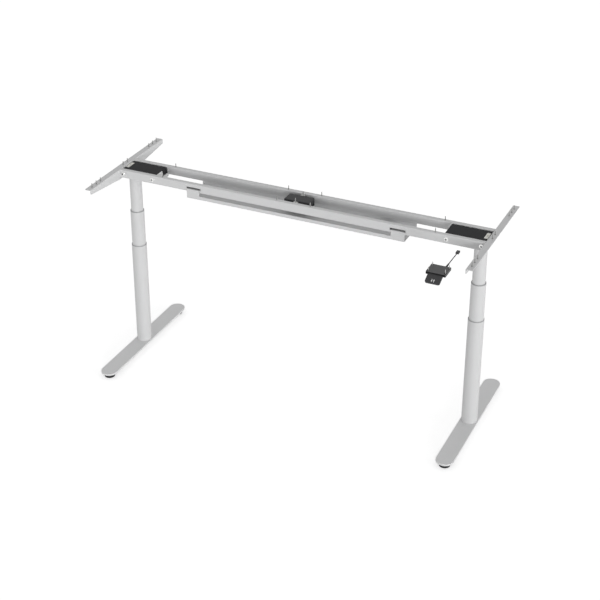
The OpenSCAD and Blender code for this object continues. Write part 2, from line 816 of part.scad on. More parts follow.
// Circuit board on the base's posts, with its transformer and capacitors
module circuit_board() {
    x = box_len - 2 * (box_wall + board_gap);
    y = box_w - 2 * (box_wall + board_gap);
    color(green) translate([0, 0, box_z + box_wall + board_rise]) {
        translate([-x / 2, -y / 2, 0]) cube([x, y, board_t]);
        translate([-transformer[0] / 2, -transformer[1] / 2, board_t]) cube(transformer);
        for (s = [-1, 1]) translate([s * x / 3, 0, board_t]) cylinder(r = capacitor_r, h = capacitor_h);
    }
}

// Zinc strap under the control box, with an ear on each side for its tabletop screw
module box_strap() {
    side_y = box_w / 2 + pin_gap;
    foot_z = box_z - strap_t;
    color(zinc) difference() {
        translate([-strap_w / 2, 0, 0]) {
            translate([0, -side_y - strap_t, foot_z]) cube([strap_w, 2 * (side_y + strap_t), strap_t]);
            for (s = [-1, 1]) mirror([0, s > 0 ? 0 : 1, 0]) translate([0, side_y, foot_z]) {
                cube([strap_w, strap_t, strap_ear_z + strap_t - foot_z]);
                translate([0, 0, strap_ear_z - foot_z]) cube([strap_w, rail_in_y - gap - side_y, strap_t]);
            }
        }
        for (s = [-1, 1]) translate([0, s * strap_screw_y, strap_ear_z - over])
            cylinder(r = screw_r + hole_gap, h = strap_t + 2 * over);
    }
}

// Places of the four handset screws
function pocket_places() = [for (s = [-1, 1], y = [-handset_y + pocket_front,
    handset_mid_y + handset_d / 2 - pocket_rear]) [handset_x + s * pocket_x, y]];

// Holder plate under the tabletop, with four corner pockets, and a recess below its front edge
// for the paddle
module handset_plate() {
    color(black) difference() {
        translate([handset_x, handset_mid_y, handset_z])
            round_block(handset_w, handset_d, handset_t, handset_round_r);
        for (p = pocket_places()) translate([p[0], p[1], handset_z]) {
            translate([0, 0, handset_t - pocket_depth]) cylinder(r = pocket_r, h = pocket_depth + over);
            translate([0, 0, -over])
                cylinder(r = pocket_r, h = handset_t - pocket_depth - pocket_floor_t + over);
            cylinder(r = handset_screw_r + hole_gap, h = handset_t);
        }
        translate([handset_x - paddle_w / 2 - gap, -handset_y - over, handset_z - over])
            cube([paddle_w + 2 * gap, recess_d + over, handset_t - recess_roof_t + over]);
        translate([handset_x - hinge_len / 2 - gap, hinge_y, hinge_z]) rotate([0, 90, 0])
            cylinder(r = hinge_r + pin_gap, h = hinge_len + 2 * gap);
        translate([handset_x - cavity_w / 2, cavity_y - cavity_d / 2, handset_z - over])
            cube([cavity_w, cavity_d, cavity_h + over]);
    }
}

// Cover of the handset's underside
module handset_bottom() {
    color(black) translate([handset_x - cavity_w / 2 + bottom_gap, cavity_y - cavity_d / 2 + bottom_gap,
        handset_z]) cube([cavity_w - 2 * bottom_gap, cavity_d - 2 * bottom_gap, bottom_t]);
}

// Small board with the two keys that the paddle works
module handset_board() {
    color(green) translate([handset_x, cavity_y, handset_z + bottom_t]) {
        translate([over - cavity_w / 2, over - cavity_d / 2, 0])
            cube([cavity_w - 2 * over, cavity_d - 2 * over, board_t]);
        for (s = [-1, 1]) translate([s * key_pitch / 2 - key_w / 2, -key_w / 2, board_t])
            cube([key_w, key_w, key_h]);
    }
}

module handset_screws() {
    color(zinc) for (p = pocket_places())
        translate([p[0], p[1], handset_z + handset_t - pocket_depth - pocket_floor_t])
            wood_screw(handset_screw_r, handset_head_r, handset_head_h, pocket_floor_t);
}

// Puts its children at the hinge, sloping as the paddle does
module at_paddle() {
    translate([handset_x, hinge_y, hinge_z]) rotate([paddle_slope, 0, 0]) children();
}

module paddle() {
    w = paddle_w;
    rr = paddle_round_r;
    color(black) at_paddle() difference() {
        union() {
            rotate([0, 90, 0]) cylinder(r = barrel_r, h = w, center = true);
            translate([0, 0, -paddle_t / 2]) linear_extrude(paddle_t) {
                translate([-w / 2, rr - paddle_len]) square([w, paddle_len - rr]);
                translate([rr - w / 2, -paddle_len]) square([w - 2 * rr, paddle_len]);
                for (s = [-1, 1]) translate([s * (w / 2 - rr), rr - paddle_len]) circle(rr);
            }
        }
        rotate([0, 90, 0]) cylinder(r = hinge_r + pin_gap, h = w + 2 * over, center = true);
        for (s = [-1, 1]) arrow_place(s) translate([0, 0, -arrow_t]) linear_extrude(arrow_t + over)
            arrow(s, 0);
    }
}

// Middle of an arrow on the paddle's upper face
module arrow_place(s) {
    translate([s * arrow_pitch / 2, -arrow_from_hinge, paddle_t / 2]) children();
}

// Arrow that points away from the hinge for s = -1 and towards it for s = 1
module arrow(s, shrink) {
    tip = arrow_len / 2 - 2 * shrink;
    neck = arrow_len / 2 - arrow_head_len + shrink;
    tail = shrink - arrow_len / 2;
    stem = arrow_stem_w / 2 - shrink;
    wing = arrow_w / 2 - 2 * shrink;
    mirror([0, s < 0 ? 1 : 0]) polygon([[0, tip], [wing, neck], [stem, neck], [stem, tail],
        [-stem, tail], [-stem, neck], [-wing, neck]]);
}

module paddle_pin() {
    color(steel) translate([handset_x - hinge_len / 2, hinge_y, hinge_z]) rotate([0, 90, 0])
        cylinder(r = hinge_r, h = hinge_len);
}

module paddle_arrows() {
    color(white) at_paddle() for (s = [-1, 1]) arrow_place(s) translate([0, 0, -arrow_t])
        linear_extrude(arrow_t) arrow(s, pin_gap);
}

module strain_relief() {
    color(black) translate([relief_x, relief_y, relief_z]) rotate([-90, 0, 0])
        cylinder(r1 = relief_r, r2 = relief_tip_r, h = relief_len);
}

// Ring of points round one point of the cable's route, square to the route there
function cable_ring(i) = let (p = cable_points, a = p[max(i - 1, 0)], b = p[min(i + 1, len(p) - 1)],
    d = (b - a) / norm(b - a), u = cross(d, [0, 0, 1]) / norm(cross(d, [0, 0, 1])), v = cross(u, d))
    [for (k = [0:cable_sides - 1]) p[i] + cable_d / 2 * (cos(360 * k / cable_sides) * u
        + sin(360 * k / cable_sides) * v)];

// The cable's free stretch: one tube along the route
module handset_cable() {
    n = len(cable_points);
    m = cable_sides;
    points = [for (i = [0:n - 1]) each cable_ring(i)];
    sides = [for (i = [0:n - 2], k = [0:m - 1]) let (q = (k + 1) % m)
        each [[i * m + k, i * m + q, (i + 1) * m + q], [i * m + k, (i + 1) * m + q, (i + 1) * m + k]]];
    ends = [for (k = [1:m - 2]) each [[0, k + 1, k], [(n - 1) * m, (n - 1) * m + k, (n - 1) * m + k + 1]]];
    color(black) translate([relief_x, relief_y + relief_len, relief_z])
        polyhedron(points = points, faces = concat(sides, ends));
}

// Plug on the cable's end, with a snap lug on top
module handset_plug() {
    tip = cable_points[len(cable_points) - 1];
    lug = plug_w / 3;
    color(black) translate([relief_x, relief_y + relief_len, relief_z] + tip) {
        translate([-plug_w / 2, 0, -plug_t / 2]) cube([plug_w, plug_len, plug_t]);
        translate([-lug / 2, lug, plug_t / 2 - over]) cube([lug, plug_len - 2 * lug, 2 * over]);
    }
}

for (side = [-1, 1]) {
    name = side < 0 ? "left_" : "right_";
    at_column(side) foot_plate();
    at_column(side) leveller(side);
    at_column(side) leveller(-side);
    at_column(side) lower_tube();
    at_column(side) foot_screws();
    at_column(side) lift_screw();
    at_column(side) glide_ring(lower_r, middle_r, lower_top_z);
    at_column(side) middle_tube();
    at_column(side) middle_glide_plug();
    at_column(side) glide_ring(middle_r, upper_r, middle_top_z);
    at_column(side) screw_tube();
    at_column(side) upper_tube();
    at_column(side) upper_glide();
    at_column(side) drive_tube();
    at_column(side) drive_housing();
    at_column(side) gearbox();
    at_column(side) motor();
    at_column(side) motor_cover();
    at_column(side) cover_clip();
    at_column(side) side_bracket();
}
front_rail();
rear_rail();
frame_bolts();
head_screws();
tabletop_screws();
cable_tray();
control_box_base();
control_box_lid();
circuit_board();
box_strap();
handset_plate();
handset_bottom();
handset_board();
handset_screws();
paddle();
paddle_pin();
paddle_arrows();
strain_relief();
handset_cable();
handset_plug();
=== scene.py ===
"""Standing desk frame, dressed for a studio picture. Metres, in the frame of the CAD part."""

import json
from math import cos, pi, radians, sin

import bmesh
import bpy
from mathutils import Matrix, Vector


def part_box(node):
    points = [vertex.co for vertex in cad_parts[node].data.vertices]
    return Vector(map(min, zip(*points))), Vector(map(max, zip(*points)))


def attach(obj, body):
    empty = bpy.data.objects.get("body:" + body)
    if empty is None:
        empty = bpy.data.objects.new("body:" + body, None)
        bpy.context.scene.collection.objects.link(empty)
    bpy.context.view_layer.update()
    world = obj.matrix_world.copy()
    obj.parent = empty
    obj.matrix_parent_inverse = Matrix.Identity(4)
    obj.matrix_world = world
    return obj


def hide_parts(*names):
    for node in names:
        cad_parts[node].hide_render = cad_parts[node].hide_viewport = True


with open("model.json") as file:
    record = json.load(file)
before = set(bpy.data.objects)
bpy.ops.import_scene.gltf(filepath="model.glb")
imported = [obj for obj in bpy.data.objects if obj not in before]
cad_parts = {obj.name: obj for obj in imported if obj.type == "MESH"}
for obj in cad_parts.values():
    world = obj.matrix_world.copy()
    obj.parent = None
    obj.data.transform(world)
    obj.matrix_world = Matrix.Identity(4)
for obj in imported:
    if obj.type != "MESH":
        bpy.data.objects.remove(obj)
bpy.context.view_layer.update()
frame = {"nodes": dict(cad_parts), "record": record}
scene = bpy.context.scene
scene.view_settings.view_transform = "Standard"

# Camera: stands in front of the right column, well above the frame, and looks down at it.
# The shift is kept small, so that the other views hold the whole frame. A larger one would
# match the photograph's perspective more closely, by a pixel or so in most places.
camera = bpy.data.objects.new("camera", bpy.data.cameras.new("camera"))
camera.location = (2.18374, -4.76261, 3.40845)
camera.rotation_euler = (radians(62.8240), radians(0.1951), radians(25.2843))
frame_px, focal_px, centre_px = 600, 1381.4, (283.07, 240)
camera.data.sensor_width = 36
camera.data.lens = focal_px / frame_px * camera.data.sensor_width
camera.data.shift_x = 0.5 - centre_px[0] / frame_px
camera.data.shift_y = centre_px[1] / frame_px - 0.5
scene.collection.objects.link(camera)
scene.camera = camera


# Handset cable: 4 mm black round sheath, moulded into its strain relief. It runs back from
# the handset, sags a little and ends in its plug, and the photograph shows all of it.
grain_inputs = ("Grain size", "Depth", "Strength", "Spread")


def surface_grain():
    """Fine relief and a slow change of shade, from the object's own coordinates."""
    group = bpy.data.node_groups.new("surface grain", "ShaderNodeTree")
    new_socket = group.interface.new_socket
    for label in grain_inputs:
        new_socket(label, in_out="INPUT", socket_type="NodeSocketFloat")
    new_socket("Normal", in_out="OUTPUT", socket_type="NodeSocketVector")
    new_socket("Shade", in_out="OUTPUT", socket_type="NodeSocketFloat")
    add, link = group.nodes.new, group.links.new
    given, out = add("NodeGroupInput"), add("NodeGroupOutput")
    place = add("ShaderNodeTexCoord")
    per_metre = add("ShaderNodeMath")
    per_metre.operation = "DIVIDE"
    per_metre.inputs[0].default_value = 1
    link(given.outputs["Grain size"], per_metre.inputs[1])
    grain = add("ShaderNodeTexNoise")
    grain.inputs["Detail"].default_value = 2
    link(place.outputs["Object"], grain.inputs["Vector"])
    link(per_metre.outputs[0], grain.inputs["Scale"])
    bump = add("ShaderNodeBump")
    link(grain.outputs["Fac"], bump.inputs["Height"])
    link(given.outputs["Depth"], bump.inputs["Distance"])
    link(given.outputs["Strength"], bump.inputs["Strength"])
    cloud = add("ShaderNodeTexNoise")
    cloud.inputs["Scale"].default_value = 9
    cloud.inputs["Detail"].default_value = 4
    link(place.outputs["Object"], cloud.inputs["Vector"])
    both = add("ShaderNodeMath")
    both.operation = "ADD"
    link(cloud.outputs["Fac"], both.inputs[0])
    link(grain.outputs["Fac"], both.inputs[1])
    spread = add("ShaderNodeMapRange")
    spread.inputs["From Min"].default_value = 0.6
    spread.inputs["From Max"].default_value = 1.4
    low, high = add("ShaderNodeMath"), add("ShaderNodeMath")
    low.operation, high.operation = "SUBTRACT", "ADD"
    low.inputs[0].default_value = high.inputs[0].default_value = 1
    link(given.outputs["Spread"], low.inputs[1])
    link(given.outputs["Spread"], high.inputs[1])
    link(both.outputs[0], spread.inputs["Value"])
    link(low.outputs[0], spread.inputs["To Min"])
    link(high.outputs[0], spread.inputs["To Max"])
    link(bump.outputs["Normal"], out.inputs["Normal"])
    link(spread.outputs["Result"], out.inputs["Shade"])
    return group


grain_group = surface_grain()


def grained(name, colour, roughness, grain_values, metallic=0.0, specular=None):
    """A material with the grain in its normal, and the grain's shade on colour and roughness.

    The grain values are its size and depth in metres, its strength and how far it spreads."""
    material = bpy.data.materials.new(name)
    material.use_nodes = True
    tree = material.node_tree
    shader = tree.nodes["Principled BSDF"]
    shader.inputs["Base Color"].default_value = (*colour, 1)
    shader.inputs["Roughness"].default_value = roughness
    shader.inputs["Metallic"].default_value = metallic
    if specular is not None:
        shader.inputs["Specular IOR Level"].default_value = specular
    grain = tree.nodes.new("ShaderNodeGroup")
    grain.node_tree = grain_group
    for label, value in zip(grain_inputs, grain_values):
        grain.inputs[label].default_value = value
    tint = tree.nodes.new("ShaderNodeMix")
    tint.data_type, tint.blend_type = "RGBA", "MULTIPLY"
    tint.inputs["Factor"].default_value = 1
    tint.inputs["A"].default_value = (*colour, 1)
    tree.links.new(grain.outputs["Shade"], tint.inputs["B"])
    tree.links.new(tint.outputs["Result"], shader.inputs["Base Color"])
    rough = tree.nodes.new("ShaderNodeMath")
    rough.operation = "MULTIPLY"
    rough.inputs[0].default_value = roughness
    tree.links.new(grain.outputs["Shade"], rough.inputs[1])
    tree.links.new(rough.outputs[0], shader.inputs["Roughness"])
    tree.links.new(grain.outputs["Normal"], shader.inputs["Normal"])
    return material


cable_black = grained("cable sheath", (0.022, 0.022, 0.023), 0.55, (0.0006, 0.00003, 0.3, 0.08))
relief_tip = Vector((0.7595, -0.281, 0.9125))
route_mm = [(0, 0, 0), (0, 6, 0), (0, 12, 0), (0, 18, -0.1), (0, 24, -0.1), (0, 30, -0.2),
            (0, 36, -0.2), (0.1, 42, -0.3), (0.1, 48, -0.4), (0.1, 54, -0.5), (0.1, 60, -0.6),
            (0.2, 66, -0.7), (0.2, 72, -0.8), (0.2, 78, -0.9), (0.2, 85, -1), (0.2, 94, -1)]
cable_r, cable_length = 0.002, 0.094
line = bpy.data.curves.new("handset cable", "CURVE")
line.dimensions = "3D"
line.bevel_depth = cable_r
line.bevel_resolution = 6
line.resolution_u = 4
line.use_fill_caps = True
spline = line.splines.new("BEZIER")
spline.bezier_points.add(len(route_mm) - 1)
for point, place in zip(spline.bezier_points, route_mm):
    point.co = relief_tip + Vector(place) / 1000
    point.handle_left_type = point.handle_right_type = "AUTO"
cable = bpy.data.objects.new("dressed_handset_cable", line)
scene.collection.objects.link(cable)
line.materials.append(cable_black)
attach(cable, "top_frame")
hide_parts("handset_cable")


# Handset plug: black moulded body with a snap lug on top, and eight gilt contacts in its
# end. It is moulded straight onto the cable.
sharp_angle = radians(35)


def finish_piece(name, bm, material, slot, body, *nodes, second=None):
    """Makes a bmesh into a piece that rides on a body and stands for CAD nodes."""
    mesh = bpy.data.meshes.new(name)
    bm.to_mesh(mesh)
    bm.free()
    mesh.shade_smooth()
    mesh.set_sharp_from_angle(angle=sharp_angle)
    made = bpy.data.objects.new(name, mesh)
    scene.collection.objects.link(made)
    mesh.materials.append(material)
    if second:
        mesh.materials.append(second)
    even = made.modifiers.new("even normals", "WEIGHTED_NORMAL")
    even.keep_sharp = True
    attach(made, body)
    if nodes:
        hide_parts(*nodes)
    return made


def add_block(bm, low, high, edge=0.0, segments=2):
    """Adds a block between two corners, its edges rounded."""
    low, high = Vector(low), Vector(high)
    verts = bmesh.ops.create_cube(bm, size=1)["verts"]
    bmesh.ops.scale(bm, vec=high - low, verts=verts)
    bmesh.ops.translate(bm, vec=(low + high) / 2, verts=verts)
    if edge:
        edges = {e for v in verts for e in v.link_edges}
        bmesh.ops.bevel(bm, geom=list(edges), offset=edge, segments=segments, profile=0.5,
                        affect="EDGES", material=-1)


def merged_copy(node):
    """A CAD node's mesh with its triangles joined into whole faces."""
    bm = bmesh.new()
    bm.from_mesh(frame["nodes"][node].data)
    bmesh.ops.remove_doubles(bm, verts=bm.verts, dist=1e-6)
    bmesh.ops.dissolve_limit(bm, angle_limit=radians(0.4), verts=bm.verts, edges=bm.edges)
    return bm


def soften(bm, width, segments=2, where=None):
    """Rounds the sharp edges, all of them or those that where() picks."""
    edges = [e for e in bm.edges if len(e.link_faces) == 2 and e.calc_face_angle(0) > sharp_angle
             and (where is None or where(*(v.co for v in e.verts)))]
    bmesh.ops.bevel(bm, geom=edges, offset=width, segments=segments, profile=0.5, affect="EDGES",
                    material=-1, clamp_overlap=True)


moulded_black = grained("moulded black", (0.03, 0.03, 0.032), 0.42, (0.0007, 0.00003, 0.35, 0.07))
gilt = grained("gilt contact", (0.75, 0.55, 0.2), 0.3, (0.002, 0.00001, 0.2, 0.1), metallic=1.0)
low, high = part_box("handset_plug")
plug_top, lug_inset, contact_pitch, contact_half = low.z + 0.008, 0.004, 0.001, 0.0003
bm = bmesh.new()
add_block(bm, low, (high.x, high.y, plug_top), 0.0008, 3)
add_block(bm, (low.x + lug_inset, low.y + lug_inset, plug_top - 0.001),
          (high.x - lug_inset, high.y - lug_inset, high.z), 0.0004)
plug = finish_piece("dressed_handset_plug", bm, moulded_black, "handset_black", "top_frame",
                    "handset_plug")
bm = bmesh.new()
for i in range(8):
    x = (low.x + high.x) / 2 + (i - 3.5) * contact_pitch
    add_block(bm, (x - contact_half, high.y - 0.0012, low.z + 0.0015),
              (x + contact_half, high.y - 0.0001, low.z + 0.0045))
contacts = finish_piece("plug_contacts", bm, gilt, "handset_black", "top_frame")


# Floor, backdrop and light: a white studio. The floor keeps the frame's soft shadow, the
# lamps stand low in front and on the right, and metal sees the same white as the camera.
def white_to_eye(tree):
    """Is 1 for the rays of the camera and of reflections, which see plain white."""
    rays = tree.nodes.new("ShaderNodeLightPath")
    seen = rays.outputs["Is Camera Ray"]
    for label in ("Is Glossy Ray", "Is Transmission Ray"):
        either = tree.nodes.new("ShaderNodeMath")
        either.operation = "MAXIMUM"
        tree.links.new(seen, either.inputs[0])
        tree.links.new(rays.outputs[label], either.inputs[1])
        seen = either.outputs[0]
    return seen


world = bpy.data.worlds.new("white studio")
scene.world = world
world.use_nodes = True
tree = world.node_tree
sky = tree.nodes["Background"]
way = tree.nodes.new("ShaderNodeTexCoord")
height = tree.nodes.new("ShaderNodeSeparateXYZ")
tree.links.new(way.outputs["Generated"], height.inputs[0])
fade = tree.nodes.new("ShaderNodeMapRange")
horizon_level, zenith_level = 0.7, 0.47
for label, value in (("From Min", 0.1), ("From Max", 0.9), ("To Min", horizon_level),
                     ("To Max", zenith_level)):
    fade.inputs[label].default_value = value
tree.links.new(height.outputs["Z"], fade.inputs["Value"])
tree.links.new(fade.outputs["Result"], sky.inputs["Strength"])
sky.inputs["Color"].default_value = (1, 1, 1, 1)
white = tree.nodes.new("ShaderNodeBackground")
white.inputs["Color"].default_value = (1, 1, 1, 1)
mixed = tree.nodes.new("ShaderNodeMixShader")
tree.links.new(white_to_eye(tree), mixed.inputs["Fac"])
tree.links.new(sky.outputs[0], mixed.inputs[1])
tree.links.new(white.outputs[0], mixed.inputs[2])
tree.links.new(mixed.outputs[0], tree.nodes["World Output"].inputs["Surface"])

floor_white = bpy.data.materials.new("studio floor")
floor_white.use_nodes = True
tree = floor_white.node_tree
tree.nodes.remove(tree.nodes["Principled BSDF"])
matt = tree.nodes.new("ShaderNodeBsdfDiffuse")
matt.inputs["Color"].default_value = (0.8, 0.8, 0.8, 1)
glow = tree.nodes.new("ShaderNodeEmission")
floor_glow = 0.56
glow.inputs["Strength"].default_value = floor_glow
sum_up = tree.nodes.new("ShaderNodeAddShader")
tree.links.new(matt.outputs[0], sum_up.inputs[0])
tree.links.new(glow.outputs[0], sum_up.inputs[1])
mixed = tree.nodes.new("ShaderNodeMixShader")
tree.links.new(white_to_eye(tree), mixed.inputs["Fac"])
tree.links.new(matt.outputs[0], mixed.inputs[1])
tree.links.new(sum_up.outputs[0], mixed.inputs[2])
tree.links.new(mixed.outputs[0], tree.nodes["Material Output"].inputs["Surface"])
bm = bmesh.new()
bmesh.ops.create_grid(bm, x_segments=1, y_segments=1, size=20)
mesh = bpy.data.meshes.new("studio_floor")
bm.to_mesh(mesh)
bm.free()
mesh.materials.append(floor_white)
floor = bpy.data.objects.new("studio_floor", mesh)
scene.collection.objects.link(floor)

# Each lamp's azimuth, height and spread are in degrees.
for label, azimuth, height, level, spread in (("front_lamp", -56, 4, 0.44, 16),
                                              ("side_lamp", -4, 5, 0.27, 34)):
    lamp = bpy.data.objects.new(label, bpy.data.lights.new(label, "SUN"))
    lamp.data.energy = level * pi
    lamp.data.angle = radians(spread)
    around, up = radians(azimuth), radians(height)
    towards = Vector((cos(around) * cos(up), sin(around) * cos(up), sin(up)))
    lamp.rotation_euler = towards.to_track_quat("Z", "Y").to_euler()
    scene.collection.objects.link(lamp)


# Strain relief: black rubber boot with grooves, moulded over the cable where it leaves the
# handset, so that it can't be bent sharply there.
def turned(profile, steps, at=(0, 0, 0), tilt=0.0):
    """Spins a profile of (radius, height) points round Z, tilts it about X and places it."""
    bm = bmesh.new()
    verts = [bm.verts.new((r, 0, h)) for r, h in profile]
    edges = [bm.edges.new(pair) for pair in zip(verts, verts[1:])]
    bmesh.ops.spin(bm, geom=verts + edges, cent=(0, 0, 0), axis=(0, 0, 1), angle=2 * pi,
                   steps=steps, use_merge=True)
    bmesh.ops.remove_doubles(bm, verts=bm.verts, dist=1e-7)
    bmesh.ops.recalc_face_normals(bm, faces=bm.faces)
    bmesh.ops.rotate(bm, cent=(0, 0, 0), matrix=Matrix.Rotation(tilt, 3, "X"), verts=bm.verts)
    bmesh.ops.translate(bm, vec=at, verts=bm.verts)
    return bm


low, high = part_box("strain_relief")
relief_r, relief_taper, relief_length = 0.0045, 0.0019, 0.036
groove_pitch, groove_depth = 0.004, 0.0009
profile = [(0, 0), (relief_r, 0)]
for i in range(8):
    start = 0.003 + i * groove_pitch
    r = relief_r - relief_taper * start / relief_length
    profile += [(r, start), (r - groove_depth, start + 0.0003), (r - groove_depth, start + 0.0014),
                (r - 0.0001, start + 0.0017)]
profile += [(0.0027, 0.0352), (0.0024, relief_length), (0, relief_length)]
bm = turned(profile, 32, (relief_tip.x, low.y, relief_tip.z), -pi / 2)
finish_piece("dressed_strain_relief", bm, cable_black, "cable_rubber", "top_frame", "strain_relief")


# Handset: satin black moulding that hangs under the tabletop's edge, closed below by a flat
# cover over its small board. Its pockets and the front above the paddle carry painted shade, a
# near-black material.
handset_black = grained("handset black", (0.056, 0.056, 0.058), 0.45,
                        (0.0009, 0.00004, 0.3, 0.05), specular=0.35)
# Painted shade: a near-black, dull copy of the handset's black, standing in for the shadow in its
# pockets and on its front.
painted_shade_black = grained("painted shade black", (0.008, 0.008, 0.0085), 0.6,
                       (0.0007, 0.00004, 0.4, 0.08), specular=0.15)
bm = merged_copy("handset_plate")
soften(bm, 0.0005, 2)
low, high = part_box("handset_plate")
rim = 0.0008
# Painted shade: faces sunk below the top, in the pockets and on the front above the paddle, take
# the near-black second material.
for face in bm.faces:
    middle = face.calc_center_median()
    sunk = high.z - middle.z > rim and face.normal.z > -0.5
    edge = min(middle.x - low.x, high.x - middle.x, high.y - middle.y) < rim
    if sunk and not edge:
        face.material_index = 1
finish_piece("dressed_handset_plate", bm, handset_black, "handset_black", "top_frame",
             "handset_plate", second=painted_shade_black)
bm = merged_copy("handset_bottom")
soften(bm, 0.0004, 2)
finish_piece("dressed_handset_bottom", bm, handset_black, "handset_black", "top_frame",
             "handset_bottom")


# Paddle: tilts on a steel pin, down and up. It is moulded in a glossier black, with rounded
# edges, and has one white arrow let into its face for each way.
paddle_black = grained("paddle black", (0.032, 0.032, 0.034), 0.4,
                       (0.0009, 0.00003, 0.25, 0.05), specular=0.35)
bm = merged_copy("paddle")
low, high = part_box("paddle")
paddle_x, straight_half, front_depth, hinge_depth = (low.x + high.x) / 2, 0.0215, 0.006, 0.0045
soften(bm, 0.0012, 3, where=lambda a, b: max(a.y, b.y) < low.y + front_depth
       or max(abs(a.x - paddle_x), abs(b.x - paddle_x)) > straight_half
       and max(a.y, b.y) < high.y - hinge_depth)
finish_piece("dressed_paddle", bm, paddle_black, "handset_black", "paddle_body", "paddle")
arrow_white = grained("arrow white", (0.85, 0.85, 0.85), 0.5, (0.0008, 0.00002, 0.2, 0.03))


# Feet: flat steel bars with half-round ends, laser cut, their rims ground round before the
# coat. The powder coat is a fine-textured silver grey; the feet's copy is lighter, as painted
# light.
silver_coat = grained("silver powder coat", (0.64, 0.642, 0.645), 0.42,
                      (0.0011, 0.00005, 0.25, 0.02), specular=0.4)
# Painted light: the same silver coat made lighter, standing in for the brighter light on the feet's
# tops.
foot_coat_painted_light = grained("foot powder coat, painted lighter", (0.73, 0.732, 0.735), 0.42,
                    (0.0011, 0.00005, 0.25, 0.02), specular=0.4)
sides = (("left", -1), ("right", 1))
for side, sign in sides:
    bm = merged_copy(f"{side}_foot_plate")
    soften(bm, 0.0009, 3)
    finish_piece(f"{side}_dressed_foot_plate", bm, foot_coat_painted_light, "coated_steel", f"{side}_base",
                 f"{side}_foot_plate")


# Levelling feet: black moulded pads, fluted for the fingers, each on a threaded steel stud
# that screws into the foot plate. They are turned down to level the frame.
def join(whole, part):
    """Adds one bmesh to another and lets the added one go."""
    mesh = bpy.data.meshes.new("part")
    part.to_mesh(mesh)
    part.free()
    whole.from_mesh(mesh)
    bpy.data.meshes.remove(mesh)


def threaded(crest, root, pitch, length, at, steps):
    """A thread from at upwards: one tooth swept up a helix, closed at both ends."""
    bm = bmesh.new()
    tooth = ((root, 0), (crest, 0.4), (crest, 0.5), (root, 0.9), (root, 1))
    verts = [bm.verts.new((r, 0, pitch * part)) for r, part in tooth]
    edges = [bm.edges.new(pair) for pair in zip(verts, verts[1:])]
    turns = max(1, int(length / pitch) - 1)
    bmesh.ops.spin(bm, geom=verts + edges, cent=(0, 0, 0), axis=(0, 0, 1), angle=2 * pi * turns,
                   steps=steps * turns, dvec=(0, 0, pitch / steps), use_merge=False)
    bmesh.ops.remove_doubles(bm, verts=bm.verts, dist=1e-6)
    bmesh.ops.holes_fill(bm, edges=[e for e in bm.edges if e.is_boundary], sides=0)
    bmesh.ops.recalc_face_normals(bm, faces=bm.faces)
    bmesh.ops.translate(bm, vec=at, verts=bm.verts)
    return bm


stud_steel = grained("stud steel", (0.5, 0.5, 0.49), 0.35,
                     (0.0012, 0.00002, 0.25, 0.08), metallic=1.0)
pad_black = grained("pad black", (0.028, 0.028, 0.03), 0.6,
                    (0.0008, 0.00005, 0.4, 0.08), specular=0.3)
column_x, pad_y = 0.8, 0.3125
pad_profile = [(0, 0), (0.0215, 0), (0.0232, 0.0008), (0.024, 0.0025), (0.024, 0.0125),
               (0.0234, 0.0136), (0.0225, 0.0141), (0.0128, 0.0158), (0.012, 0.0165),
               (0.012, 0.0175), (0.0115, 0.018), (0, 0.018)]
for side, sign in sides:
    for end, way in (("front", -1), ("rear", 1)):
        x, y = sign * column_x, way * pad_y
        bm = turned(pad_profile, 72, (x, y, 0))
        rim = [f for f in bm.faces if abs(f.normal.z) < 0.1
               and 0.003 < f.calc_center_median().z < 0.0125 and f.calc_area() > 1e-6]
        rim.sort(key=lambda f: (f.calc_center_median().xy - Vector((x, y))).angle_signed(
            Vector((1, 0)), 0))
        bmesh.ops.inset_individual(bm, faces=rim[::2], thickness=0.0003, depth=-0.0006)
        finish_piece(f"{side}_{end}_dressed_pad", bm, pad_black, "black_moulding",
                     f"{side}_{end}_foot", f"{side}_{end}_leveller")
        bm = threaded(0.004, 0.0034, 0.00125, 0.0115, (x, y, 0.0172), 20)
        finish_piece(f"{side}_{end}_stud", bm, stud_steel, "black_moulding",
                     f"{side}_{end}_foot")


# Column tubes: three drawn steel tubes to a column, one inside the other, with their mouths
# rolled smooth. The lower one stands on the foot plate, and a disc closes its lower end.
def tube_profile(r, inner, bottom, top):
    """A tube's section, its mouths' edges broken."""
    return [(inner, bottom), (r - 0.0004, bottom), (r, bottom + 0.0004), (r, top - 0.0005),
            (r - 0.0005, top), (inner + 0.0003, top), (inner, top - 0.0003), (inner, bottom)]


def disc_profile(inner, outer, bottom, top):
    """A flat ring's section."""
    return [(inner, bottom), (outer, bottom), (outer, top), (inner, top), (inner, bottom)]


tube_r, tube_wall = {"lower": 0.034, "middle": 0.0312, "upper": 0.0273}, 0.0015
discs = {"lower": (0.00605, 0.0324, 0.03, 0.036), "upper": (0.0143, 0.0257, 0.8685, 0.8725)}
for side, sign in sides:
    for stage, body in (("lower", "base"), ("middle", "middle"), ("upper", "")):
        low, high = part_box(f"{side}_{stage}_tube")
        r, axis = tube_r[stage], (sign * column_x, 0, 0)
        bm = turned(tube_profile(r, r - tube_wall, low.z, high.z), 128, axis)
        if stage in discs:
            join(bm, turned(disc_profile(*discs[stage]), 64, axis))
        finish_piece(f"{side}_dressed_{stage}_tube", bm, silver_coat, "coated_steel",
                     f"{side}_{body}" if body else "top_frame", f"{side}_{stage}_tube")


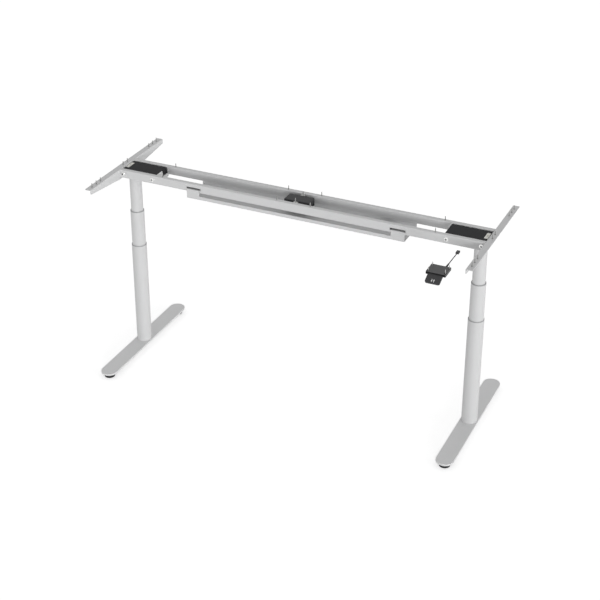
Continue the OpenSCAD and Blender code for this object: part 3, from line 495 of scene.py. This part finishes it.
# Glide rings: grey nylon, pressed into the mouths of the lower and middle tubes. A rounded
# lip shows, and a long sleeve inside keeps the sliding tube straight.
ring_grey = grained("ring grey", (0.36, 0.365, 0.37), 0.55, (0.0009, 0.00003, 0.3, 0.04))
lip_h, sleeve_h = 0.004, 0.06
for side, sign in sides:
    for stage, body, slider in (("lower", "base", "middle"), ("middle", "middle", "upper")):
        top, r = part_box(f"{side}_{stage}_glide_ring")[1].z, tube_r[stage]
        base, inner, sleeve = top - lip_h, tube_r[slider] + 0.0003, r - tube_wall - 0.00005
        end = base - sleeve_h
        bm = turned([(inner, end), (inner, top - 0.0007), (inner + 0.0005, top - 0.0001),
                     (r - 0.0012, top), (r - 0.0004, top - 0.0005), (r, top - 0.0014),
                     (r, base + 0.0003), (r - 0.0003, base), (sleeve, base), (sleeve, end),
                     (inner, end)], 128, (sign * column_x, 0, 0))
        finish_piece(f"{side}_dressed_{stage}_ring", bm, ring_grey, "grey_nylon",
                     f"{side}_{body}", f"{side}_{stage}_glide_ring")


# Rails: two box-section tubes from bracket to bracket, with holes for the screws and bolts
# and slots for the tray. A plate is welded into each end.
for end in ("front", "rear"):
    bm = merged_copy(f"{end}_rail")
    soften(bm, 0.0003, 2)
    finish_piece(f"dressed_{end}_rail", bm, silver_coat, "coated_steel", "top_frame", f"{end}_rail")


# Side brackets: 3 mm sheet folded to an angle. The web is deepest in the middle and tapers
# to both ends, and the flange has eight holes for the tabletop screws.
web_x, bracket_t, seat, fold_min = 0.834, 0.003, 0.9175, 0.6
for side, sign in sides:
    bm = merged_copy(f"{side}_side_bracket")
    soften(bm, 0.0022, 5, where=lambda a, b: abs(a.y - b.y) > fold_min
           and abs(a.x) < web_x + 0.0005 and a.z > seat - 0.0005)
    soften(bm, 0.0008, 4, where=lambda a, b: abs(a.y - b.y) > fold_min
           and abs(abs(a.x) - web_x - bracket_t) < 0.0005 and abs(a.z - seat + bracket_t) < 0.0005)
    soften(bm, 0.0003, 2)
    finish_piece(f"{side}_dressed_bracket", bm, silver_coat, "coated_steel", "top_frame",
                 f"{side}_side_bracket")


# Cable tray: 1.5 mm sheet folded up at the front and the back, hooked into the rails' slots
# by four tabs.
bm = merged_copy("cable_tray")
tray_fold_min, tray_fold_z = 0.8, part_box("cable_tray")[0].z + 0.002
soften(bm, 0.0011, 4, where=lambda a, b: abs(a.x - b.x) > tray_fold_min and a.z < tray_fold_z)
soften(bm, 0.00025, 2)
finish_piece("dressed_cable_tray", bm, silver_coat, "coated_steel", "top_frame", "cable_tray")


# Drive housings: folded steel channels between the rails that carry the gear motors and
# close the column heads.
housing_fold_min, housing_fold_z = 0.1, 0.8726
for side, sign in sides:
    bm = merged_copy(f"{side}_drive_housing")
    soften(bm, 0.0018, 4, where=lambda a, b: abs(a.x - b.x) > housing_fold_min
           and a.z < housing_fold_z)
    soften(bm, 0.0003, 2)
    finish_piece(f"{side}_dressed_housing", bm, silver_coat, "coated_steel", "top_frame",
                 f"{side}_drive_housing")


# Motor covers: black ABS shells, spark-textured, pushed down into the housings over the
# motors. Each has a notch at its outer end for the clip.
cover_black = grained("cover black", (0.024, 0.024, 0.026), 0.65,
                      (0.0007, 0.00006, 0.4, 0.06), specular=0.12)
for side, sign in sides:
    bm = merged_copy(f"{side}_motor_cover")
    soften(bm, 0.0007, 3)
    finish_piece(f"{side}_dressed_cover", bm, cover_black, "black_moulding", "top_frame",
                 f"{side}_motor_cover")


# Cover clips: natural nylon, cream, snapped into the covers' notches. The round hole takes
# the motor lead's tie.
cream = grained("natural nylon", (0.8, 0.79, 0.74), 0.5, (0.0012, 0.00003, 0.25, 0.04))
for side, sign in sides:
    bm = merged_copy(f"{side}_cover_clip")
    soften(bm, 0.0005, 2)
    finish_piece(f"{side}_dressed_clip", bm, cream, "cream_nylon", "top_frame",
                 f"{side}_cover_clip")


# Control box: a black ABS base and lid with chamfered edges, hung under the tabletop by a
# zinc-plated strap. Leads go in at both ends.
box_black = grained("box black", (0.045, 0.045, 0.047), 0.6,
                    (0.0008, 0.00006, 0.4, 0.06), specular=0.25)
for piece in ("control_box_base", "control_box_lid"):
    bm = merged_copy(piece)
    soften(bm, 0.0006, 2)
    finish_piece(f"dressed_{piece}", bm, box_black, "box_black", "top_frame", piece)
zinc = grained("bright zinc", (0.46, 0.46, 0.45), 0.36, (0.0015, 0.00002, 0.25, 0.1), metallic=1.0)
bm = merged_copy("box_strap")
soften(bm, 0.0004, 2)
finish_piece("dressed_box_strap", bm, zinc, "bright_zinc", "top_frame", "box_strap")


# Tabletop screws: zinc-plated wood screws, driven up into the tabletop from below. Each has
# a pan head with a square socket, a smooth neck, a coarse thread and a sharp point.
def socketed(bm, level, across, depth, corners, points=24):
    """Closes a head's open top with a flat ring and a socket of so many corners."""
    bmesh.ops.create_circle(bm, segments=corners, radius=across,
                            matrix=Matrix.Translation((0, 0, level)))
    bmesh.ops.subdivide_edges(bm, edges=[e for e in bm.edges if e.is_wire],
                              cuts=points // corners - 1)
    rim = [e for e in bm.edges
           if e.is_boundary and all(abs(v.co.z - level) < 1e-7 for v in e.verts)]
    ring = [e for e in bm.edges if e.is_wire]
    bmesh.ops.bridge_loops(bm, edges=rim + ring)
    made = bmesh.ops.extrude_edge_only(bm, edges=ring)["geom"]
    bmesh.ops.translate(bm, vec=(0, 0, -depth),
                        verts=[g for g in made if isinstance(g, bmesh.types.BMVert)])
    floor_edges = [g for g in made if isinstance(g, bmesh.types.BMEdge)]
    made += bmesh.ops.holes_fill(bm, edges=floor_edges, sides=0)["faces"]
    # Painted shade: the socket's walls and floor take the second material, a near-black that stands
    # in for the shadow inside.
    for face in made:
        if isinstance(face, bmesh.types.BMFace):
            face.material_index = 1
    bmesh.ops.recalc_face_normals(bm, faces=bm.faces)


def wood_screw(r, head_r, head_h, sheet):
    """A wood screw, point up, with the sheet that it passes from z = 0 upwards."""
    bm = turned([(head_r * 0.5, head_h), (head_r * 0.68, head_h * 0.95),
                 (head_r * 0.88, head_h * 0.74), (head_r, head_h * 0.4), (head_r, 0), (0, 0)], 24)
    socketed(bm, head_h, head_r * 0.36, head_h * 0.6, 4)
    bmesh.ops.rotate(bm, cent=(0, 0, 0), matrix=Matrix.Rotation(pi, 3, "X"), verts=bm.verts)
    neck, core, tip = r + 0.0003, r * 0.75, sheet + 0.02
    join(bm, turned([(0, -0.0005), (neck, -0.0005), (neck, sheet - 0.0002),
                     (core, sheet + 0.0004), (core, tip - 0.0039), (r * 0.5, tip - 0.0022),
                     (0.0002, tip), (0, tip)], 20))
    join(bm, threaded(r, r * 0.72, 0.0018, 0.0172, (0, 0, sheet + 0.0004), 12))
    return bm


def set_out(bm, screw, places):
    """Puts a copy of a screw at each place."""
    mesh = bpy.data.meshes.new("screw")
    screw.to_mesh(mesh)
    screw.free()
    for place in places:
        count = len(bm.verts)
        bm.from_mesh(mesh)
        bm.verts.ensure_lookup_table()
        bmesh.ops.translate(bm, vec=place, verts=bm.verts[count:])
    bpy.data.meshes.remove(mesh)


screw_zinc = grained("screw zinc", (0.34, 0.34, 0.335), 0.36,
                     (0.0015, 0.00002, 0.25, 0.1), metallic=1.0)
# Painted shade: a dull near-black in place of zinc for the sockets' walls and floors, standing in
# for the shadow inside them.
socket_painted_shade = grained("socket painted shade", (0.02, 0.02, 0.021), 0.6,
                      (0.001, 0.00002, 0.2, 0.1), specular=0.1)
rail_wall, rail_y, strap_t, strap_y = 0.0016, 0.05875, 0.002, 0.03925
top_screw = (0.0022, 0.0045, 0.003)
bm = bmesh.new()
set_out(bm, wood_screw(*top_screw, rail_wall),
        [(x, y, seat - rail_wall) for x in (-0.625, -0.077, 0.077, 0.625)
         for y in (-rail_y, rail_y)])
set_out(bm, wood_screw(*top_screw, bracket_t),
        [(x, y, seat - bracket_t) for x in (-0.8485, 0.8485)
         for y in (-0.274, -0.24, -0.206, -0.018, 0.018, 0.206, 0.24, 0.274)])
set_out(bm, wood_screw(*top_screw, strap_t),
        [(0, y, seat - 3 * strap_t) for y in (-strap_y, strap_y)])
finish_piece("dressed_tabletop_screws", bm, screw_zinc, "bright_zinc", "top_frame",
             "tabletop_screws", second=socket_painted_shade)
low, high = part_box("handset_screws")
head_r, head_h, pocket_floor = 0.0036, 0.0025, 0.0035
bm = bmesh.new()
set_out(bm, wood_screw(0.0018, head_r, head_h, pocket_floor),
        [(x, y, low.z + head_h) for x in (low.x + head_r, high.x - head_r)
         for y in (low.y + head_r, high.y - head_r)])
finish_piece("dressed_handset_screws", bm, zinc, "bright_zinc", "top_frame", "handset_screws",
             second=socket_painted_shade)


# Frame bolts: button-head bolts with a wide flange and a hexagon socket. Those in the rails
# run into rivet nuts in the housings, and those in the brackets into the rails' end plates.
def flange_bolt(shank, nut):
    """A bolt with its flange's underside on z = 0 and its shank below."""
    head_top, shank_r, nut_bore = 0.0033, 0.003, 0.0031
    bm = turned([(0.0048, head_top), (0.0052, head_top), (0.0056, 0.003), (0.0059, 0.0022),
                 (0.006, 0.0016), (0.0084, 0.0014), (0.0089, 0.001), (0.009, 0.0005),
                 (0.0088, 0), (shank_r, 0), (shank_r, -shank + 0.0005),
                 (shank_r - 0.0005, -shank), (0, -shank)], 24)
    socketed(bm, head_top, 0.0044, 0.0026, 6)
    if nut:
        join(bm, turned([(nut_bore, -shank), (0.0053, -shank), (0.0055, -shank + 0.0003),
                         (0.0055, -shank + 0.0012), (nut_bore, -shank + 0.0012),
                         (nut_bore, -shank)], 24))
    return bm


bolt_zinc = grained("bolt zinc", (0.86, 0.86, 0.85), 0.3,
                    (0.0015, 0.00002, 0.2, 0.06), metallic=1.0)
bolt_z, rail_face_y = 0.899, 0.069
places = [(flange_bolt(0.0247, True), (x, way * rail_face_y, bolt_z), -way, "X")
          for x in (-0.82, -0.674, 0.674, 0.82) for way in (-1, 1)]
places += [(flange_bolt(0.009, False), (way * (web_x + bracket_t), y, bolt_z), way, "Y")
           for way in (-1, 1) for y in (-rail_y, rail_y)]
bm = bmesh.new()
for bolt, place, way, axis in places:
    bmesh.ops.rotate(bolt, cent=(0, 0, 0), matrix=Matrix.Rotation(way * pi / 2, 3, axis),
                     verts=bolt.verts)
    bmesh.ops.translate(bolt, vec=place, verts=bolt.verts)
    join(bm, bolt)
finish_piece("dressed_frame_bolts", bm, bolt_zinc, "bright_zinc", "top_frame", "frame_bolts",
             second=socket_painted_shade)


# Pieces kept as the CAD has them: the paddle's arrows, and what is inside the columns, under
# the covers or under the feet. They take their finish here.
finishes = {"arrow_white": arrow_white}
plain = {"bright_steel": ((0.55, 0.55, 0.56), 0.3, 1.0),
         "grey_nylon": ((0.36, 0.365, 0.37), 0.5, 0.0),
         "cast_alloy": ((0.5, 0.5, 0.51), 0.5, 1.0),
         "motor_black": ((0.04, 0.04, 0.045), 0.35, 0.0),
         "board_green": ((0.03, 0.2, 0.09), 0.4, 0.0)}
for slot, (colour, roughness, metallic) in plain.items():
    finishes[slot] = grained(slot.replace("_", " "), colour, roughness,
                             (0.001, 0.00003, 0.3, 0.05), metallic)
for part in frame["record"]["subparts"]:
    kept = frame["nodes"][part["node"]]
    if not kept.hide_render:
        kept.data.materials.clear()
        kept.data.materials.append(finishes[part["material_slot"]])
